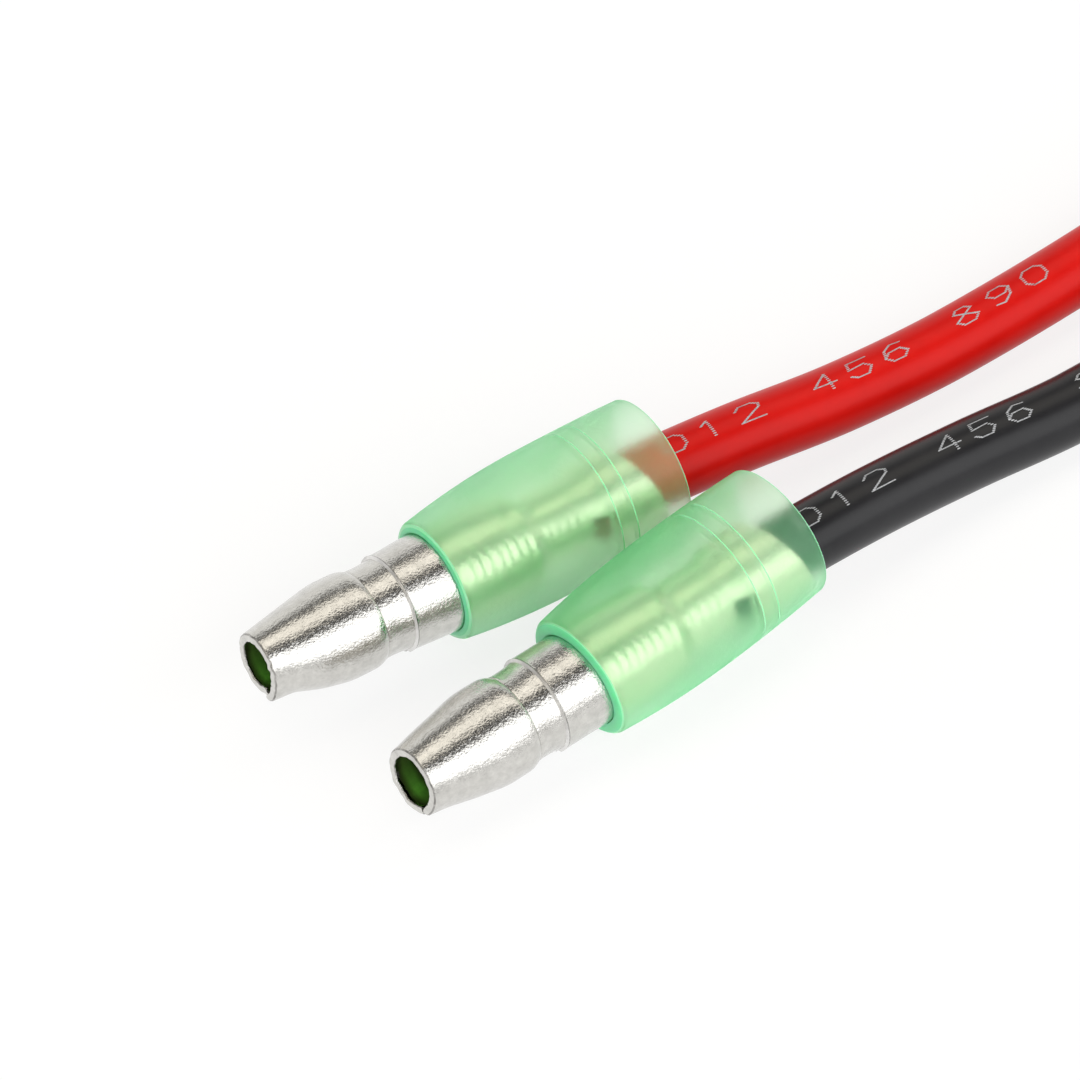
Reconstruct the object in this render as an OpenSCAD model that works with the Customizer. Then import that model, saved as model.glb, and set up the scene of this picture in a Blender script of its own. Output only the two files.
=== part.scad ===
// Pair of bullet-terminal leads, red and black, that run back to a round panel-mount charging socket.
// X runs along the terminals towards their noses, Y runs from the red lead to the black one, Z is up.
// The sleeves and the socket lie on the plane Z = 0.

/* [Bullet terminal] */
// Widest diameter of the nose
nose_d = 4.0; // [3.7:0.05:4.4]
// Outside diameter at the mouth
mouth_d = 2.8; // [2.4:0.05:3.2]
// Length from the mouth to the widest part
nose_l = 3.65; // [3:0.05:4.5]
// Length over which the cone rounds into the widest part
nose_blend = 0.8; // [0.4:0.05:1.4]
// Length of the widest part
land_l = 0.55; // [0.4:0.05:1]
// Length of the rounded drop behind the widest part
shoulder_l = 1.0; // [0.6:0.05:1.4]
// Diameter of the neck
neck_d = 3.64; // [3.3:0.02:3.8]
// Length of the neck
neck_l = 0.15; // [0.1:0.05:0.6]
// Length of the flare from the neck up to the barrel
flare_l = 0.6; // [0.3:0.05:1]
// Diameter of the barrel
barrel_d = 3.96; // [3.8:0.02:4.4]
// Length of bare barrel in front of the sleeve
barrel_out = 2.0; // [1.5:0.05:3]
// Length of barrel inside the sleeve
barrel_in = 3.6; // [3.2:0.05:4]
// Thickness of the rolled sheet
sheet_t = 0.32; // [0.25:0.01:0.38]
// Width of the open seam
seam_w = 0.12; // [0.06:0.02:0.3]
// Turn of the seam from the underside towards the black lead's side
seam_turn = 42; // [0:1:90]

/* [Crimp] */
// Length of the open throat between barrel and core crimp
throat_l = 0.9; // [0.7:0.05:1.2]
// Length of the core crimp
core_crimp_l = 1.8; // [1.4:0.05:2.2]
// Length of the open bridge between the two crimps
bridge_l = 1.0; // [0.8:0.05:1.2]
// Length of the wings that hold the jacket
wing_l = 1.1; // [0.7:0.05:1.3]
// Clearance between the jacket and the wings
wing_clear = 0.06; // [0.04:0.01:0.12]
// Clearance between the core and its crimp
core_clear = 0.02; // [0.01:0.01:0.06]
// Width of the gap where the wings meet
wing_gap = 0.25; // [0.1:0.05:0.5]
// Height of the open channels' edges above the axis
channel_edge = 0.2; // [0:0.05:0.5]
// Depth of the groove between the folded halves of the core crimp
crimp_groove = 0.2; // [0.1:0.02:0.26]

/* [Sleeve] */
// Length of the sleeve
sleeve_l = 10.2; // [9.6:0.1:12]
// Clearance between the barrel and the sleeve's front lip
lip_clear = 0.17; // [0.15:0.01:0.3]
// Length of the front lip
lip_l = 1.3; // [0.8:0.05:1.5]
// Wall at the front edge
front_wall = 0.4; // [0.36:0.01:0.6]
// Radius of the rounded front edge
front_round = 0.32; // [0.1:0.02:0.34]
// Step from the lip out to the main hollow
lip_step = 0.1; // [0.05:0.01:0.2]
// Wall at the widest place
body_wall = 0.55; // [0.45:0.01:0.8]
// Distance from the front edge to the widest place
wide_at = 5.4; // [4.5:0.1:6.5]
// Distance from the front edge to the inner step
step_at = 6.9; // [6:0.05:7.1]
// Length of the sloping inner step
step_l = 0.75; // [0.4:0.05:1]
// Step from the main hollow out to the thin skirt
skirt_step = 0.22; // [0.15:0.01:0.3]
// Wall of the thin skirt
skirt_wall = 0.2; // [0.16:0.01:0.4]
// Least clearance of the crimp inside the skirt
skirt_clear = 0.05; // [0.04:0.01:0.2]

/* [Leads] */
// Diameter of the silicone jacket
lead_d = 2.8; // [2.4:0.1:3]
// Diameter of the copper core
core_d = 1.8; // [1.4:0.05:1.9]
// Length of jacket in front of the wings
jacket_ahead = 0.2; // [0.1:0.05:1]
// Length of bare core in front of its crimp
core_ahead = 0.5; // [0.2:0.05:0.6]
// Gap between the jacket's front end and the metal in front of it
jacket_gap = 0.06; // [0.04:0.01:0.1]

/* [Lie on the table] */
// Gap between the two sleeves where they are widest
side_gap = 1.1; // [0.9:0.05:2]
// Distance by which the red terminal lies ahead of the black one
stagger = 1.6; // [0:0.1:3]
// Turn of the red terminal
red_turn = -2.7; // [-4:0.1:0]
// Rise of the red terminal's nose
red_rise = 2.5; // [0:0.1:3]
// Turn of the red sleeve
red_sleeve_turn = -1.7; // [-3:0.1:0]
// Turn of the black terminal
black_turn = 1.1; // [0:0.1:2]
// Rise of the black terminal's nose
black_rise = -0.5; // [-1:0.1:1]
// Turn of the black sleeve, which sits askew on its terminal
black_sleeve_turn = 3.8; // [1:0.1:4]
// Rise of the black sleeve's rear end
black_sleeve_lift = 4.4; // [0:0.1:4.6]

/* [Charging socket] */
// Diameter of the flange
flange_d = 14; // [13:0.1:16]
// Thickness of the flange
flange_t = 2; // [1.5:0.1:3]
// Diameter of the threaded barrel
thread_d = 11; // [10.4:0.1:12]
// Length of the threaded barrel
thread_l = 10; // [9:0.1:12]
// Diameter of the rear wall's boss
boss_d = 9; // [8.6:0.1:10]
// Length of the rear wall's boss
boss_l = 2.5; // [1.5:0.1:3]
// Chamfer of the housing's edges
housing_edge = 0.4; // [0.1:0.05:0.6]
// Diameter of the plug bore
jack_d = 5.8; // [5.6:0.05:6.2]
// Depth of the plug bore
jack_l = 10; // [8.5:0.1:10.5]
// Diameter of the centre pin
pin_d = 2.0; // [1.8:0.05:2.5]
// Distance of the pin's tip behind the mouth
pin_back = 1.0; // [0.5:0.1:2]
// Diameter of the pin's riveted rear head
rivet_d = 3.0; // [2.8:0.1:3.6]
// Height of the pin's riveted rear head
rivet_l = 0.5; // [0.3:0.05:0.8]
// Thickness of the solder tags and the contact leaf
tag_t = 0.3; // [0.2:0.02:0.4]
// Width of the solder tags and the contact leaf
tag_w = 1.8; // [1.4:0.1:2]
// Length of the solder tags behind the housing
tag_l = 4.5; // [4:0.1:5]
// Distance of each solder tag from the socket's axis
tag_off = 3.4; // [3.3:0.05:3.6]
// Bow of the contact leaf into the bore
leaf_bow = 0.75; // [0.7:0.05:0.95]
// Distance of the leaf's tip behind the flange's rear face
leaf_tip = 1.2; // [1:0.1:2]
// Distance of the leaf's touching place behind the flange's rear face
leaf_touch = 3.6; // [3:0.1:4.5]
// Distance of the leaf's bend from the bore's floor
leaf_bend = 0.4; // [0.2:0.1:1]
// Clearance between the housing and its metal pieces
fit_clear = 0.05; // [0.03:0.01:0.08]
// Width of the panel nut across its flats
nut_af = 14; // [13:0.1:16]
// Thickness of the panel nut
nut_t = 2.5; // [2:0.1:3.5]
// Height of the nut's corner chamfers
nut_edge = 0.4; // [0.2:0.05:0.6]
// Clearance of the nut and washer on the thread
nut_clear = 0.08; // [0.04:0.01:0.12]
// Thickness of the lock washer
washer_t = 0.6; // [0.4:0.05:0.8]
// Radial width of the lock washer
washer_w = 1.3; // [1.1:0.05:1.4]
// Number of teeth inside the lock washer
washer_teeth = 12; // [8:1:16]
// Panel space left between the flange and the lock washer
panel_space = 2; // [1:0.1:3]
// Distance of the solder joints behind the housing
joint_at = 1.6; // [1.2:0.1:2]
// Length of bare core past the end of a solder tag
joint_past = 0.36; // [0.2:0.02:0.38]
// Distance of the shrink tubes behind the housing
shrink_at = 1.2; // [1:0.1:1.6]
// Wall of the shrink tubes
shrink_t = 0.3; // [0.2:0.05:0.4]
// Length of the shrink tubes
shrink_l = 9; // [7:0.5:10]

/* [Hidden] */
$fn = 64;

// How far pieces of one solid reach into each other, and how far a cut reaches past what it cuts
eps = 0.01;
over = 1;

// Colours of the pieces
tin = "#c9c7c2";
copper = "#c07a4a";
mint = "#7fe0a0";
jackets = ["#dc140a", "#2d2d2d"];
moulded_black = "#26272a";
nickel = "#d8d8d6";
steel = "#b4b6b8";
shrink_black = "#1a1a1c";

// Terminal stations along its axis, measured from the sleeve's front edge towards the nose
flare_x = barrel_out;
neck_x = flare_x + flare_l;
shoulder_x = neck_x + neck_l;
land_x = shoulder_x + shoulder_l;
widest_x = land_x + land_l;
mouth_x = widest_x + nose_l;
throat_x = -barrel_in;
core_crimp_x = throat_x - throat_l;
bridge_x = core_crimp_x - core_crimp_l;
wing_x = bridge_x - bridge_l;
tail_x = wing_x - wing_l;
jacket_x = wing_x + jacket_ahead;

// Terminal radii
nose_r = nose_d / 2;
mouth_r = mouth_d / 2;
neck_r = neck_d / 2;
barrel_r = barrel_d / 2;
core_crimp_r = core_d / 2 + core_clear + sheet_t;
wing_r = lead_d / 2 + wing_clear + sheet_t;
nose_slope = (nose_r - mouth_r) / (nose_l - nose_blend / 2);
curve_steps = 8;

// Sleeve radii: the hollow clears the barrel and both ends of the wings, and the walls lie outside it
askew = norm([black_sleeve_turn - black_turn, black_sleeve_lift + black_rise]);
lip_r = barrel_r + lip_clear;
hollow_r = max(lip_r + lip_step, hollow_past(barrel_r, barrel_in),
    hollow_past(wing_r, -jacket_x - jacket_gap), hollow_past(wing_r, -tail_x));
skirt_r = hollow_r + skirt_step;
front_r = lip_r + front_wall;
wide_r = hollow_r + body_wall;
rear_r = skirt_r + skirt_wall;

// Places of the sleeves' front edges, red then black
face_mid_x = (sleeve_l - mouth_x) / 2;
face_y = wide_r + side_gap / 2;
lifts = [0, black_sleeve_lift];
faces = [
    [face_mid_x + stagger / 2, -face_y, sleeve_rest(lifts[0])],
    [face_mid_x - stagger / 2, face_y, sleeve_rest(lifts[1])]
];
terminal_turns = [red_turn, black_turn];
terminal_rises = [red_rise, black_rise];
sleeve_turns = [red_sleeve_turn, black_sleeve_turn];

// Way of each lead over the table, as [x, y, height of its underside] from behind the sleeve
ways = [
    [
        [-12, -2.7, 0.8], [-17, -2.3, 0.2], [-22, -2, 0], [-28, -2, 0], [-34, -2.3, 0], [-41, -3, 0],
        [-48, -3.7, 0], [-55, -4, 0], [-62, -3.7, 0], [-68, -3.1, 0], [-74, -2.4, 0]
    ],
    [
        [-14, 3.2, 1], [-19, 3.2, 0.4], [-24, 3.5, 0], [-30, 3.6, 0], [-36, 3.3, 0], [-42, 2.6, 0],
        [-49, 1.8, 0], [-56, 1.5, 0], [-62, 1.7, 0], [-68, 2.2, 0], [-74, 2.7, 0]
    ]
];
lead_r = lead_d / 2;
lead_sides = 8;

// Socket stations along X, measured from the flange's rear face towards the leads
socket_x = -122;
socket_y = 0.8;
socket_z = max(flange_d, nut_af) / 2;
jack_floor = jack_l - flange_t;
rear_x = thread_l + boss_l;
tag_end = rear_x + tag_l;
washer_x = panel_space;
nut_x = washer_x + washer_t + fit_clear;
leaf_root = jack_floor - leaf_bend;
tag_sides = [-1, 1];
joint_r = core_d / 2;
joint_y = tag_off - tag_t / 2 - joint_r;
shrink_r = max(norm([tag_off + tag_t / 2 - joint_y, tag_w / 2]), lead_r) + fit_clear;

// Where the leads end at the socket, and where they have reached its height
lead_end_x = socket_x + tag_end + joint_past + fit_clear;
level_x = socket_x + rear_x + shrink_at + shrink_l + fit_clear;
routes = [for (side = [0, 1]) route(side)];

// Share of the inner step that lies ahead of a place, from 0 to 1
function stepped(s) = min(1, max(0, (s - step_at) / step_l));

// Hollow radius that lets a round of the terminal, askew in the sleeve, pass a place behind its front edge
function hollow_past(r, s) = r + s * tan(askew) + skirt_clear - skirt_step * stepped(s);

// Radius of the sleeve's outside at a distance behind its front edge
function crown(s) = s < wide_at
    ? wide_r - (wide_r - front_r) * pow((wide_at - s) / wide_at, 2)
    : wide_r - (wide_r - rear_r) * pow((s - wide_at) / (sleeve_l - wide_at), 2);

// Height of the sleeve's front centre when the sleeve, lifted at its rear, rests on the table
function sleeve_rest(lift) =
    max([for (i = [0 : 50]) crown(i * sleeve_l / 50) * cos(lift) - i * sleeve_l / 50 * sin(lift)]);

// Half a cosine wave from one radius to another, as points from x0 to x1
function eased(r0, r1, x0, x1) =
    [for (i = [0 : curve_steps]) let (t = i / curve_steps)
        [r0 + (r1 - r0) * (1 - cos(180 * t)) / 2, x0 + (x1 - x0) * t]];

// Point on a terminal's axis at a station
function on_axis(side, x) = faces[side] + x *
    [cos(terminal_rises[side]) * cos(terminal_turns[side]),
     cos(terminal_rises[side]) * sin(terminal_turns[side]),
     sin(terminal_rises[side])];

// Route of a lead: out of the crimp, over the table, up to the socket and into the shrink tube
function route(side) =
    let (way = [for (p = ways[side]) p + [0, 0, lead_r]],
         from = way[len(way) - 1],
         to = [level_x, socket_y + tag_sides[side] * joint_y, socket_z])
    concat([on_axis(side, jacket_x), on_axis(side, tail_x - lead_r)], way,
        [for (t = [0.25 : 0.25 : 1]) let (e = (1 - cos(180 * t)) / 2)
            [from[0] + t * (to[0] - from[0]),
             from[1] + e * (to[1] - from[1]),
             from[2] + e * (to[2] - from[2])]],
        [[lead_end_x, to[1], to[2]]]);

function unit(v) = v / norm(v);

// Ring of points around a route's point, with a flat side downwards
function lead_ring(path, i) =
    let (way = unit(path[min(i + 1, len(path) - 1)] - path[max(i - 1, 0)]),
         side = unit(cross(way, [0, 0, 1])),
         up = cross(side, way))
    [for (k = [0 : lead_sides - 1]) let (a = 360 * (k + 0.5) / lead_sides)
        path[i] + lead_r * (cos(a) * side + sin(a) * up)];

// Outline of the terminal's sheet, outside face, from mouth to tail
terminal_outside = concat(
    [[mouth_r, mouth_x]],
    [for (i = [0 : curve_steps]) let (back = nose_blend * (1 - i / curve_steps))
        [nose_r - nose_slope * back * back / (2 * nose_blend), widest_x + back]],
    eased(nose_r, neck_r, land_x, shoulder_x),
    eased(neck_r, barrel_r, neck_x, flare_x),
    [[barrel_r, throat_x], [core_crimp_r, core_crimp_x], [core_crimp_r, bridge_x],
     [wing_r, jacket_x + jacket_gap], [wing_r, tail_x]]
);

// Lays a piece that points along +X on a connector's place
module lie(place, turn, rise) {
    translate(place) rotate([0, -rise, turn]) children();
}

// Turns an outline of [radius, x] points about the X axis
module turned(outline) {
    rotate([0, 90, 0]) rotate_extrude() polygon(outline);
}

// Tube or rod along +X
module rod(r, x0, x1) {
    translate([x0, 0, 0]) rotate([0, 90, 0]) cylinder(r = r, h = x1 - x0);
}

module tube(r, r_in, x0, x1) {
    difference() {
        rod(r, x0, x1);
        rod(r_in, x0 - over, x1 + over);
    }
}

module terminal_on(side) {
    sheet = concat(terminal_outside,
        [for (i = [len(terminal_outside) - 1 : -1 : 0]) terminal_outside[i] - [sheet_t, 0]]);
    // the seam and the open side of the crimp face upwards here, and are then turned under
    lie(faces[side], terminal_turns[side], terminal_rises[side])
    rotate([180 + seam_turn, 0, 0])
    difference() {
        turned(sheet);
        // open seam along the nose and barrel
        translate([throat_x, -seam_w / 2, 0]) cube([mouth_x - throat_x + over, seam_w, nose_d]);
        // throat and bridge are open channels
        translate([core_crimp_x, -nose_d, channel_edge]) cube([throat_l, 2 * nose_d, nose_d]);
        translate([wing_x, -nose_d, channel_edge]) cube([bridge_l, 2 * nose_d, nose_d]);
        // groove between the folded halves of the core crimp
        translate([bridge_x - eps, 0, core_crimp_r - crimp_groove])
            rotate([45, 0, 0]) cube([core_crimp_l + 2 * eps, nose_d, nose_d]);
        // gap where the wings meet
        translate([tail_x - over, -wing_gap / 2, 0]) cube([wing_l + over + eps, wing_gap, 2 * wing_r]);
    }
}

module sleeve_on(side) {
    steps = 16;
    round_r = crown(front_round);
    outside = concat(
        [for (i = [0 : curve_steps]) let (a = 90 * i / curve_steps)
            [round_r - front_round * (1 - sin(a)), -front_round * (1 - cos(a))]],
        [for (i = [1 : steps]) let (s = front_round + (sleeve_l - front_round) * i / steps)
            [crown(s), -s]]);
    inside = [[skirt_r, -sleeve_l], [skirt_r, -step_at - step_l], [hollow_r, -step_at],
        [hollow_r, -lip_l - lip_step], [lip_r, -lip_l], [lip_r, 0]];
    lie(faces[side], sleeve_turns[side], -lifts[side]) turned(concat(outside, inside));
}

module core_on(side) {
    lie(faces[side], terminal_turns[side], terminal_rises[side])
        rod(core_d / 2, jacket_x + jacket_gap, core_crimp_x + core_ahead);
}

module lead_along(path) {
    rings = len(path);
    last = (rings - 1) * lead_sides;
    points = [for (i = [0 : rings - 1]) each lead_ring(path, i)];
    walls = [for (i = [0 : rings - 2], k = [0 : lead_sides - 1])
        let (a = i * lead_sides + k, b = i * lead_sides + (k + 1) % lead_sides)
        each [[a, b, b + lead_sides], [a, b + lead_sides, a + lead_sides]]];
    front = [for (k = [lead_sides - 1 : -1 : 0]) k];
    back = [for (k = [0 : lead_sides - 1]) last + k];
    polyhedron(points, concat(walls, [front, back]));
}

module at_socket() {
    translate([socket_x, socket_y, socket_z]) children();
}

module joint_on(side) {
    at_socket() translate([0, tag_sides[side] * joint_y, 0])
        rod(joint_r, rear_x + joint_at, tag_end + joint_past);
}

module shrink_on(side) {
    at_socket() translate([0, tag_sides[side] * joint_y, 0])
        tube(shrink_r + shrink_t, shrink_r, rear_x + shrink_at, rear_x + shrink_at + shrink_l);
}

module red_terminal() { color(tin) terminal_on(0); }
module red_sleeve() { color(mint) sleeve_on(0); }
module red_core() { color(copper) core_on(0); }
module red_lead() { color(jackets[0]) lead_along(routes[0]); }
module red_joint() { color(tin) joint_on(0); }
module red_shrink() { color(shrink_black) shrink_on(0); }
module black_terminal() { color(tin) terminal_on(1); }
module black_sleeve() { color(mint) sleeve_on(1); }
module black_core() { color(copper) core_on(1); }
module black_lead() { color(jackets[1]) lead_along(routes[1]); }
module black_joint() { color(tin) joint_on(1); }
module black_shrink() { color(shrink_black) shrink_on(1); }

module socket_housing() {
    outline = [
        [0, -flange_t], [flange_d / 2 - housing_edge, -flange_t], [flange_d / 2, -flange_t + housing_edge],
        [flange_d / 2, 0], [thread_d / 2, 0], [thread_d / 2, thread_l - housing_edge],
        [thread_d / 2 - housing_edge, thread_l], [boss_d / 2, thread_l], [boss_d / 2, rear_x - housing_edge],
        [boss_d / 2 - housing_edge, rear_x], [0, rear_x]
    ];
    mouth = [
        [0, -flange_t - eps], [jack_d / 2 + housing_edge, -flange_t - eps],
        [jack_d / 2, -flange_t + housing_edge], [0, -flange_t + housing_edge]
    ];
    color(moulded_black) at_socket() difference() {
        turned(outline);
        turned(mouth);
        rod(jack_d / 2, -flange_t - over, jack_floor);
        rod(pin_d / 2 + fit_clear, jack_floor - over, rear_x + over);
        // room for the contact leaf beside the bore, and its slot through the rear wall
        translate([leaf_tip - tag_t, 0, -tag_w / 2 - fit_clear])
            cube([jack_floor - leaf_tip + tag_t, tag_off + tag_t / 2 + fit_clear, tag_w + 2 * fit_clear]);
        translate([jack_floor - over, tag_off - tag_t / 2 - fit_clear, -tag_w / 2 - fit_clear])
            cube([rear_x - jack_floor + 2 * over, tag_t + 2 * fit_clear, tag_w + 2 * fit_clear]);
    }
}

module centre_pin() {
    tip = -flange_t + pin_back;
    head = rear_x + tag_t + fit_clear;
    color(nickel) at_socket() turned([
        [0, tip], [pin_d / 4, tip], [pin_d / 2, tip + pin_d / 4], [pin_d / 2, head], [rivet_d / 2, head],
        [rivet_d / 2, head + rivet_l / 2], [rivet_d / 4, head + rivet_l], [0, head + rivet_l]
    ]);
}

module pin_tag() {
    color(nickel) at_socket() difference() {
        union() {
            translate([rear_x, -tag_off - tag_t / 2, -tag_w / 2])
                cube([tag_t, tag_off + tag_t / 2, tag_w]);
            rod(rivet_d / 2, rear_x, rear_x + tag_t);
            translate([rear_x, -tag_off - tag_t / 2, -tag_w / 2]) cube([tag_l, tag_t, tag_w]);
        }
        rod(pin_d / 2 + fit_clear, rear_x - over, rear_x + tag_t + over);
    }
}

module spring_contact() {
    bend = [[tag_end, 0], [leaf_root, 0], [leaf_touch, -leaf_bow], [leaf_tip, -leaf_bow / 3]];
    strip = concat([for (p = bend) p + [0, tag_t / 2]],
        [for (i = [len(bend) - 1 : -1 : 0]) bend[i] - [0, tag_t / 2]]);
    color(nickel) at_socket() translate([0, tag_off, -tag_w / 2])
        linear_extrude(tag_w) polygon(strip);
}

module lock_washer() {
    inner = thread_d / 2 + nut_clear;
    color(steel) at_socket() difference() {
        tube(inner + washer_w, inner, washer_x, washer_x + washer_t);
        for (i = [0 : washer_teeth - 1]) rotate([360 * i / washer_teeth, 0, 0])
            translate([washer_x - over, -washer_w / 3, 0])
                cube([washer_t + 2 * over, washer_w * 2 / 3, inner + washer_w / 2]);
    }
}

module panel_nut() {
    corner_r = nut_af / 2 / cos(30);
    chamfer = [
        [0, nut_x], [nut_af / 2, nut_x], [corner_r, nut_x + nut_edge], [corner_r, nut_x + nut_t - nut_edge],
        [nut_af / 2, nut_x + nut_t], [0, nut_x + nut_t]
    ];
    color(nickel) at_socket() difference() {
        intersection() {
            translate([nut_x, 0, 0]) rotate([0, 90, 0]) rotate([0, 0, 30])
                cylinder(r = corner_r, h = nut_t, $fn = 6);
            turned(chamfer);
        }
        rod(thread_d / 2 + nut_clear, nut_x - over, nut_x + nut_t + over);
    }
}

red_terminal();
red_sleeve();
red_core();
red_lead();
red_joint();
red_shrink();
black_terminal();
black_sleeve();
black_core();
black_lead();
black_joint();
black_shrink();
socket_housing();
centre_pin();
pin_tag();
spring_contact();
lock_washer();
panel_nut();
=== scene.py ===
# %% [markdown]
# # A pair of bullet-terminal leads
# Two silicone leads, one red and one black, end in rolled tin-plated bullet terminals under mint
# sleeves. Their other ends run back to a round charging socket. The solids come from the part's
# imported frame, and this file dresses them: it keeps every place and size, and adds the shapes and
# finishes that the solids leave plain.

# %% Load the frame
import math

import bmesh
import bpy
from mathutils import Matrix, Vector, noise


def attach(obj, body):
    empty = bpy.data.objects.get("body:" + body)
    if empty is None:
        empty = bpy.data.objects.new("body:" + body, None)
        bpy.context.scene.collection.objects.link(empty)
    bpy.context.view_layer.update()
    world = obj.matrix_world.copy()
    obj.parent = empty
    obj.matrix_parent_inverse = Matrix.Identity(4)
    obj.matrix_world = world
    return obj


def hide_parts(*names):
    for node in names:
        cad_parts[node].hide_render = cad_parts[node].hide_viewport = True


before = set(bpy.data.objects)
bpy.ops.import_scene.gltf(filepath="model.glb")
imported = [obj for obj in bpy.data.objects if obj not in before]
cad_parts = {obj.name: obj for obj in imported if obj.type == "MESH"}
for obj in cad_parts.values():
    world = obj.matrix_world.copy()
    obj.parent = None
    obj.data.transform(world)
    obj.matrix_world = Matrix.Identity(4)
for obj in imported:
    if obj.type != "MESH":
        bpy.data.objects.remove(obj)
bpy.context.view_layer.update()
MM = 0.001

# %% [markdown]
# ## Camera
# The photograph looks down on the noses from about 49 degrees with a long lens, which keeps the two
# bullets almost parallel in the picture. Three angles could aim the camera, but a target point is
# easier to read, so its direction comes from that.

# %% Camera
scene = bpy.context.scene
scene.view_settings.view_transform = "Standard"
camera_place = Vector((115.145, 150.774, 227.25)) * MM
camera_target = Vector((-4.116, -4.646, 0.05)) * MM
camera_data = bpy.data.cameras.new("camera")
camera_data.sensor_width = 36.0
camera_data.lens = 258.6
camera_data.clip_start = 0.01
camera = bpy.data.objects.new("camera", camera_data)
camera.location = camera_place
camera.rotation_euler = (camera_target - camera_place).to_track_quat("-Z", "Y").to_euler()
scene.collection.objects.link(camera)
scene.camera = camera
print("camera", round((camera_place - camera_target).length, 4), "m from its target")

# %% [markdown]
# ## Where the pieces lie
# Each terminal has its own frame: X runs along its axis towards the nose, and station 0 is the
# sleeve's front edge. The sleeves sit a little askew, so they have frames of their own at the same
# place. All sizes are in millimetres, and are turned into metres when a mesh is made.

# %% Places of the terminals and sleeves
SIDES = ("red", "black")
faces = {"red": (1.925, -3.473, 2.923), "black": (0.325, 3.473, 2.6155)}
terminal_lie = {"red": (-2.7, 2.5), "black": (1.1, -0.5)}
sleeve_lie = {"red": (-1.7, 0.0), "black": (3.8, -4.4)}
mouth_x = 7.95


def lying(place, turn, rise, roll=0.0):
    """Frame of a piece along +X, turned about Z, with its nose raised, and rolled about its axis."""
    return (
        Matrix.Translation(Vector(place) * MM)
        @ Matrix.Rotation(math.radians(turn), 4, "Z")
        @ Matrix.Rotation(-math.radians(rise), 4, "Y")
        @ Matrix.Rotation(math.radians(roll), 4, "X")
    )


def on_axis(side, x):
    """Point on a terminal's axis at a station, in millimetres in the row frame."""
    return (lying(faces[side], *terminal_lie[side]) @ Vector((x * MM, 0, 0))) / MM


for side in SIDES:
    print(side, "mouth at", [round(v, 2) for v in on_axis(side, mouth_x)])

# %% [markdown]
# ## Making meshes
# Almost every piece here is a stack of rings: a lathe form, a tube along a route, or a rolled sheet.
# Blender's own primitives would need many modifiers to get there. So one helper joins rings into
# quads, and another turns the result into a smooth-shaded object that rides on the body.

# %% Even steps, soft ends and noise


def steps(a, b, n):
    """n + 1 even values from a to b."""
    return [a + (b - a) * i / n for i in range(n + 1)]


def eased(t):
    """0 to 1 with level ends."""
    t = min(1.0, max(0.0, t))
    return t * t * (3 - 2 * t)


def bell(distance, width):
    """1 at no distance, fading away on both sides over about a width."""
    return math.exp(-((distance / width) ** 2))


def angles(count):
    """Even angles of one full turn."""
    return [2 * math.pi * k / count for k in range(count)]


def noise_round(angle, size, along, seed):
    """Smooth noise at an angle round an axis, which meets itself after a full turn."""
    return noise.noise((math.cos(angle) * size + seed, math.sin(angle) * size, along))


print("eased quarters", [round(eased(t), 3) for t in steps(0, 1, 4)])

# %% Rings and skins
wobble_size, wobble_along = 1.3, 0.25


def ring_about_x(x, radii):
    """Ring of points about the X axis at a station, with a radius for each even angle."""
    return [(x, r * math.cos(a), r * math.sin(a)) for r, a in zip(radii, angles(len(radii)))]


def lathe(outline, sides, wobble=0.0, seed=0.0):
    """Rings about the X axis through [radius, x] points, with a wobble that puts them out of round."""
    rings = []
    for radius, x in outline:
        bumps = [noise_round(a, wobble_size, x * wobble_along, seed) for a in angles(sides)]
        rings.append(ring_about_x(x, [radius + wobble * bump for bump in bumps]))
    return rings


def skin(rings, cap_ends=False):
    """Points and faces of a surface through rings of equal length."""
    count = len(rings[0])
    points = [p for ring in rings for p in ring]
    quads = []
    for i in range(len(rings) - 1):
        for k in range(count):
            a, b = i * count + k, i * count + (k + 1) % count
            quads.append((a, b, b + count, a + count))
    if cap_ends:
        quads.append(tuple(range(count - 1, -1, -1)))
        quads.append(tuple(range((len(rings) - 1) * count, len(rings) * count)))
    return points, quads


def skin_loop(rings):
    """Points and faces of a form whose last ring joins its first one, such as a tube with a wall."""
    points, quads = skin(rings + rings[:1])
    count = len(points) - len(rings[0])
    return points[:count], [tuple(i % count for i in quad) for quad in quads]


tube_points, tube_faces = skin_loop(lathe([(1, 0), (1, 1), (2, 1), (2, 0)], 8))
print("a plain tube of eight sides has", len(tube_points), "points and", len(tube_faces), "faces")

# %% Pieces that ride on the body


def new_piece(name, points, polygons, finish, lie=None, sharp=None, hides=()):
    """Object from points in millimetres in the frame of lie, which stands for the nodes that it hides."""
    mesh = bpy.data.meshes.new(name)
    mesh.from_pydata([Vector(p) * MM for p in points], [], polygons)
    mesh.validate()
    turned = bmesh.new()
    turned.from_mesh(mesh)
    bmesh.ops.recalc_face_normals(turned, faces=turned.faces)
    turned.to_mesh(mesh)
    turned.free()
    mesh.polygons.foreach_set("use_smooth", [True] * len(mesh.polygons))
    mesh.materials.append(finish)
    if sharp is not None:
        mesh.set_sharp_from_angle(angle=math.radians(sharp))
    piece = bpy.data.objects.new(name, mesh)
    scene.collection.objects.link(piece)
    if lie is not None:
        piece.matrix_world = lie
    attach(piece, "root")
    if hides:
        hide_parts(*hides)
    print(name, len(mesh.vertices), "points")
    return piece


print("nodes to dress", len(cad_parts))

# %% [markdown]
# ## Shared surface effects
# Nearly every finish needs a fine skin that breaks up its highlights, and a slow change of tone. Each
# material could have its own noise nodes, but then every correction would be made many times. So both
# are node groups with named inputs, built once and placed in each material with its own values. The
# groups work in the piece's own coordinates, so the grain keeps its size on every piece.

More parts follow.
